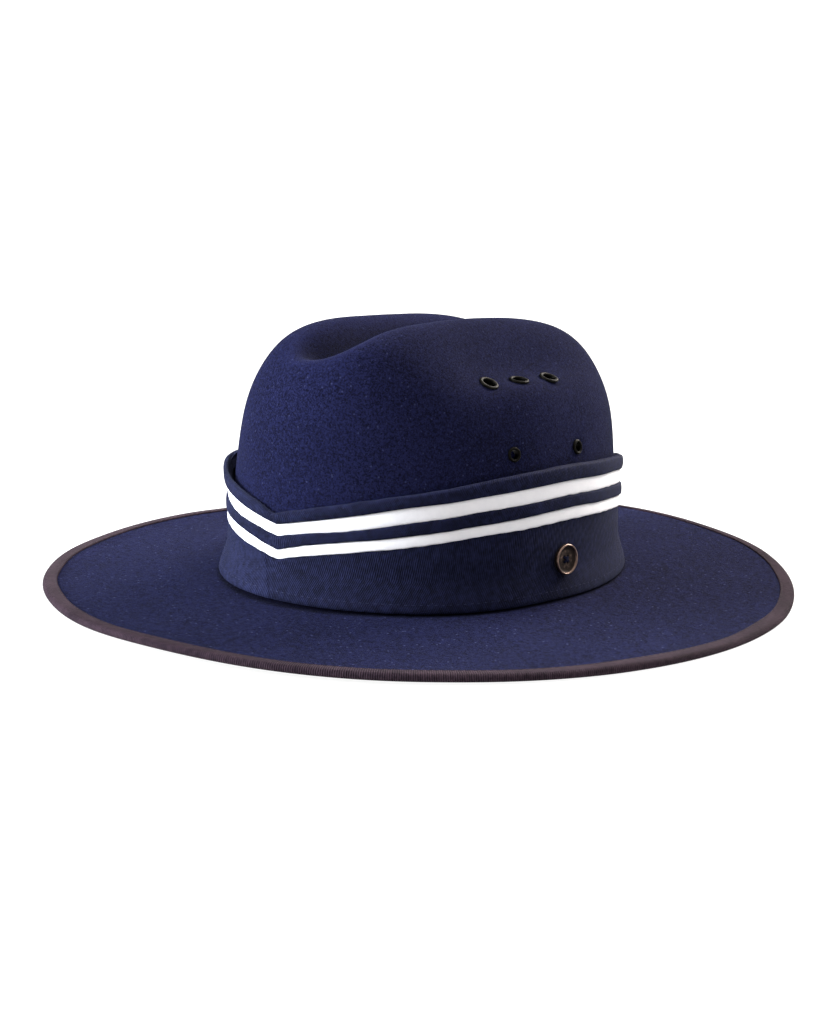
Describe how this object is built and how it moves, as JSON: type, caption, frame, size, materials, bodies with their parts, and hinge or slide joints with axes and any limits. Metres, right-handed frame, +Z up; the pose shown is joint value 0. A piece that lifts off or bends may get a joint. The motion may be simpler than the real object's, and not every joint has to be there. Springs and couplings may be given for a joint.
{
  "type": "felt hat",
  "caption": "Wide-brimmed felt hat with a creased crown, bound brim edge, pleated cloth band with pale stripes and metal vent eyelets.",
  "frame": {"origin": "on the table plane, under the middle of the brim", "axes": "+Z up through the crown, -Y towards the front of the hat where the band dips to a point, +X towards the wearer's left, the side with the button"},
  "size_m": [0.334, 0.3708, 0.127],
  "materials": {
    "navy_felt": "matt wool felt with a short nap",
    "ribbed_ribbon": "finely ribbed ribbon",
    "navy_twill": "diagonal twill cloth",
    "pale_tape": "smooth matt tape",
    "aged_bronze": "antique, worn bright on the rim",
    "aged_gunmetal": "antique, worn bright on the edges"
  },
  "bodies": {
    "root": {"felt_body": "navy_felt", "brim_binding": "ribbed_ribbon", "band_cloth": "navy_twill", "band_lower_stripe": "pale_tape", "band_middle_fold": "navy_twill", "band_upper_stripe": "pale_tape", "band_top_fold": "navy_twill", "band_button": "aged_bronze", "eyelet_left_upper_front": "aged_gunmetal", "eyelet_left_upper_middle": "aged_gunmetal", "eyelet_left_upper_back": "aged_gunmetal", "eyelet_left_lower_front": "aged_gunmetal", "eyelet_left_lower_back": "aged_gunmetal", "eyelet_right_upper_front": "aged_gunmetal", "eyelet_right_upper_middle": "aged_gunmetal", "eyelet_right_upper_back": "aged_gunmetal", "eyelet_right_lower_front": "aged_gunmetal", "eyelet_right_lower_back": "aged_gunmetal"}
  },
  "joints": []
}
